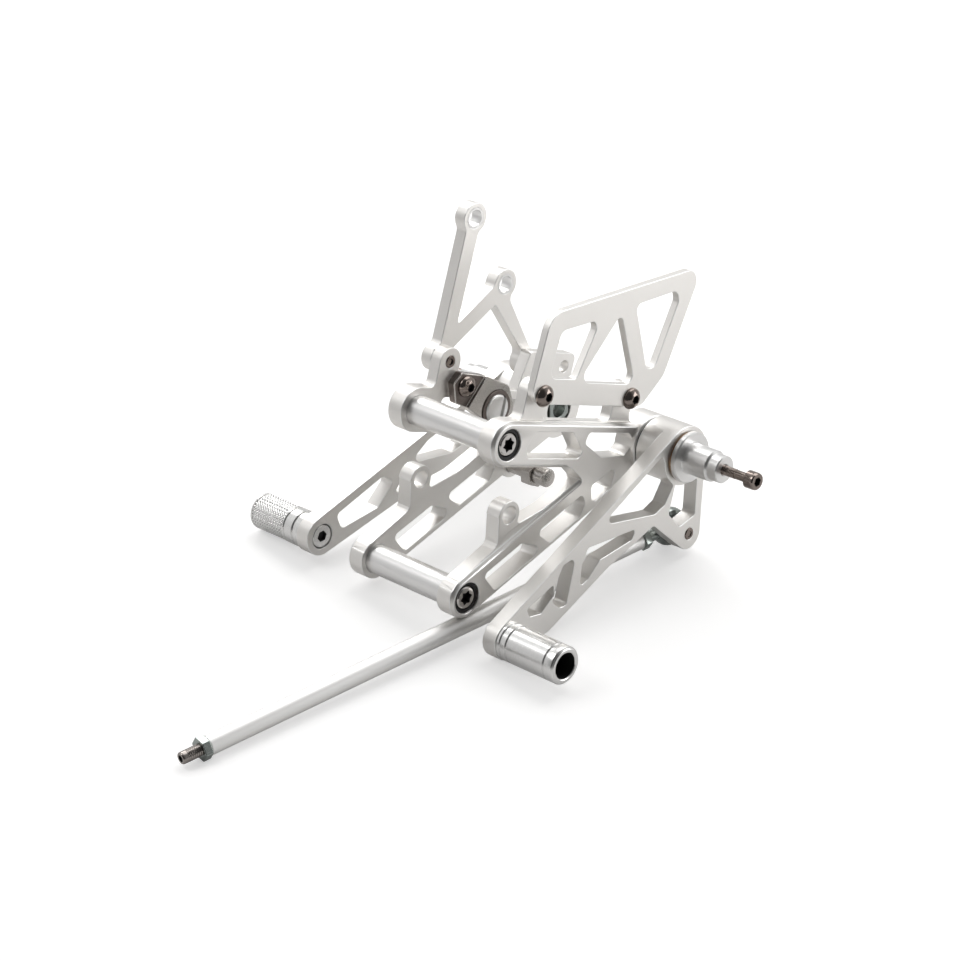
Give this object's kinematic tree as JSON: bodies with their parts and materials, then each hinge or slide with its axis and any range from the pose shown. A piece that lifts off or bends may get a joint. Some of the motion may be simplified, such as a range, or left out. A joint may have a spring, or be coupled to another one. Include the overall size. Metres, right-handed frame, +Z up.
{
  "type": "motorbike rear-set footrest bracket pair",
  "caption": "Pair of milled truss plates with shift and brake levers, toe pegs, heel guard and shift rod, joined by cross tubes.",
  "frame": {"origin": "middle of the footprint on the floor", "axes": "+X towards the front of the motorbike, +Y to its left (shift side), +Z up from the floor the set lies on; the set leans nose-up on it"},
  "size_m": [0.3172, 0.2098, 0.1606],
  "materials": {
    "satin_aluminium": "bead-blasted and anodised silver",
    "turned_aluminium": "turned and anodised silver",
    "zinc_steel": "zinc plated, a little green",
    "stainless_steel": "machined stainless fasteners",
    "dark_steel": "bare steel plate",
    "bronze": "sintered bearing bronze",
    "black_rubber": "matt black"
  },
  "bodies": {
    "frame_plates": {"barrel_pin": "turned_aluminium", "clamp_plate": "dark_steel", "clamp_ring": "turned_aluminium", "clamp_screw": "stainless_steel", "cylinder_bracket": "satin_aluminium", "cylinder_bracket_screws": "stainless_steel", "eye_bushes": "turned_aluminium", "heel_guard": "satin_aluminium", "heel_guard_screws": "stainless_steel", "left_bracket": "satin_aluminium", "left_hub_seal": "black_rubber", "left_peg_bolt": "stainless_steel", "left_peg_spindle": "turned_aluminium", "left_spindle_nut": "zinc_steel", "left_tube_screws": "stainless_steel", "lower_cross_tube": "turned_aluminium", "right_bracket": "satin_aluminium", "right_hub_seal": "black_rubber", "right_peg_bolt": "stainless_steel", "right_peg_spindle": "turned_aluminium", "right_spindle_nut": "zinc_steel", "right_tube_screws": "stainless_steel", "stop_nut": "stainless_steel", "stop_screw": "stainless_steel", "upper_cross_tube": "turned_aluminium"},
    "rod": {"rod_end_body": "zinc_steel", "rod_rear_nut": "zinc_steel", "shift_rod": "turned_aluminium", "rod_front_nut": "zinc_steel", "rod_front_stud": "stainless_steel"},
    "shift": {"shift_lever": "satin_aluminium", "shift_lever_bush": "bronze", "shift_toe_peg": "turned_aluminium", "shift_toe_screw": "stainless_steel", "rod_end_ball": "zinc_steel", "rod_end_screw": "stainless_steel"},
    "brake": {"brake_lever": "satin_aluminium", "brake_lever_bush": "bronze", "brake_toe_peg": "turned_aluminium", "brake_toe_screw": "stainless_steel"}
  },
  "joints": [
    {"name": "shift_pivot", "type": "hinge", "parent": "frame_plates", "child": "shift", "pos_m": [-0.12154, 0.00387, 0.04582], "axis": [0, 0.9918, 0.1277], "range_deg": [-6, 6]},
    {"name": "brake_pivot", "type": "hinge", "parent": "frame_plates", "child": "brake", "pos_m": [-0.12154, 0.00387, 0.04582], "axis": [0, 0.9918, 0.1277], "range_deg": [0, 15]},
    {"name": "rod_swivel", "type": "hinge", "parent": "shift", "child": "rod", "pos_m": [-0.12147, 0.05352, 0.00986], "axis": [0, 0.9918, 0.1277], "range_deg": [-6, 6]}
  ],
  "couplings": [
    {"joint": "rod_swivel", "follows": "shift_pivot", "ratio": -1}
  ]
}
